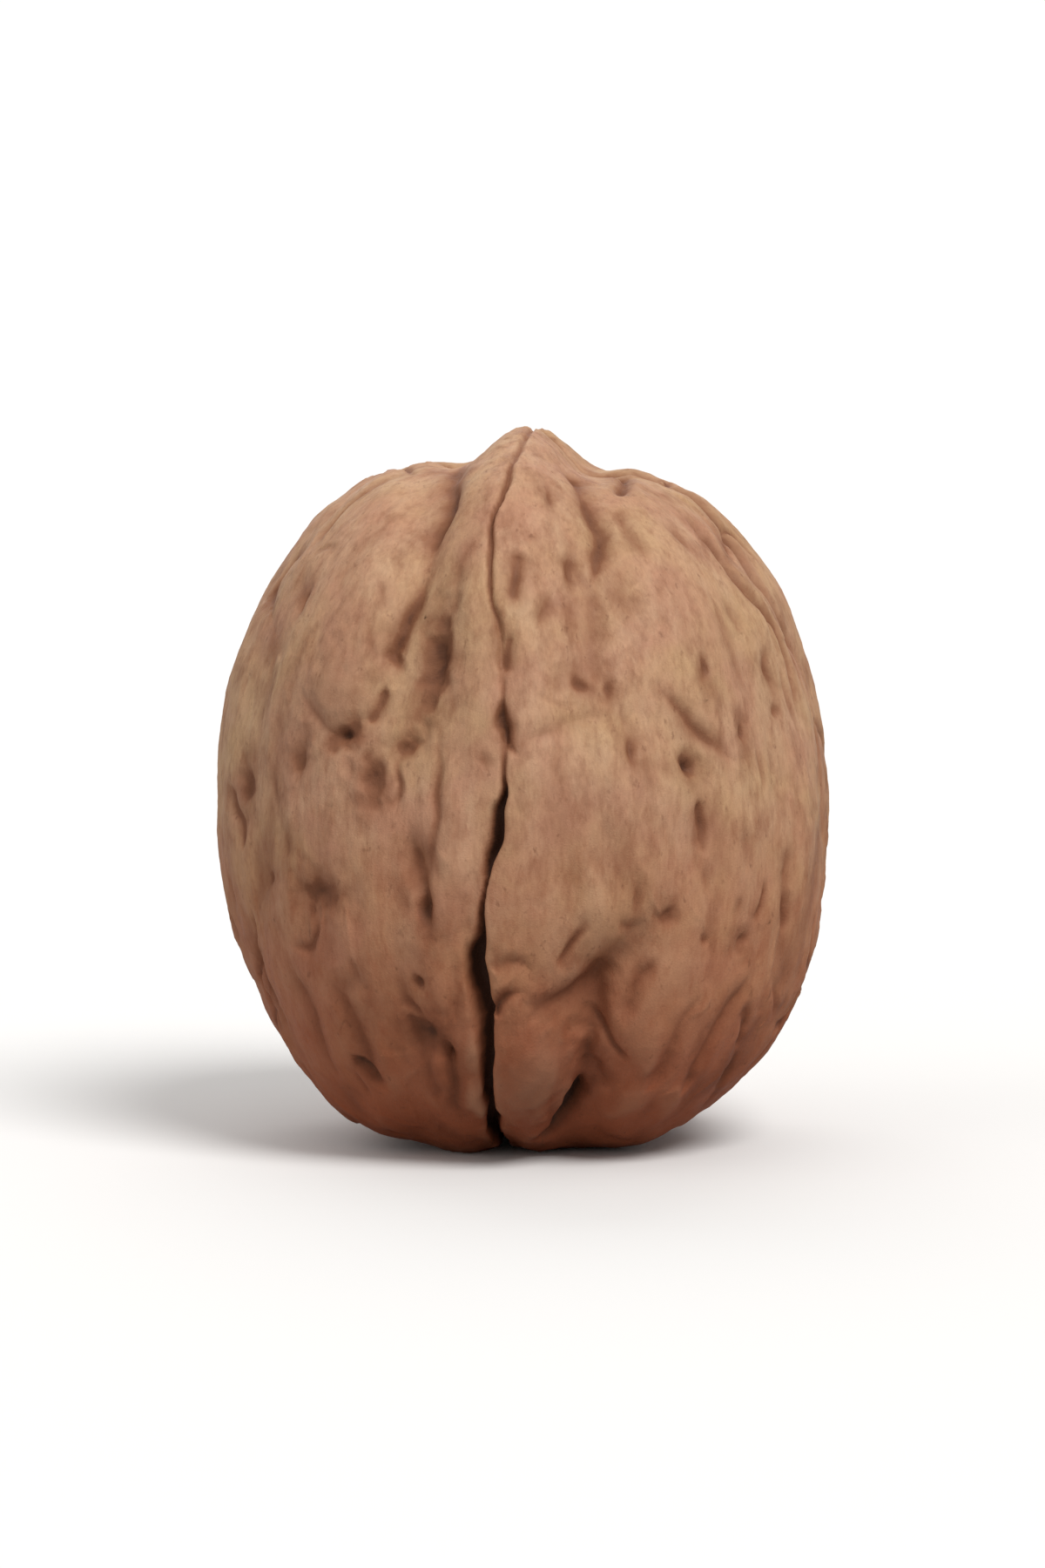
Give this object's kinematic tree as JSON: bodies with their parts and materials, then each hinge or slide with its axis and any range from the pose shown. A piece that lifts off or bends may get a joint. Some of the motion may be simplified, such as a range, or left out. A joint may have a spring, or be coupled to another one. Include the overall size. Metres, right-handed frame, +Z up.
{
  "type": "walnut",
  "caption": "Whole walnut in its shell: a rounded egg of hard shell with a raised seam all round, a blunt beak on top, wandering furrows and a small flat foot to stand on.",
  "frame": {"origin": "on the surface that the nut stands on, under the middle of its box", "axes": "+Z up from the stem end to the tip; the seam lies in the YZ plane, with its front side towards -Y; the cheeks face +X and -X"},
  "size_m": [0.035, 0.036, 0.041],
  "materials": {
    "shell": "matt, finely grained hard shell, warm tan on the ridges and red-brown in the furrows"
  },
  "bodies": {
    "root": {"walnut": "shell"}
  },
  "joints": []
}
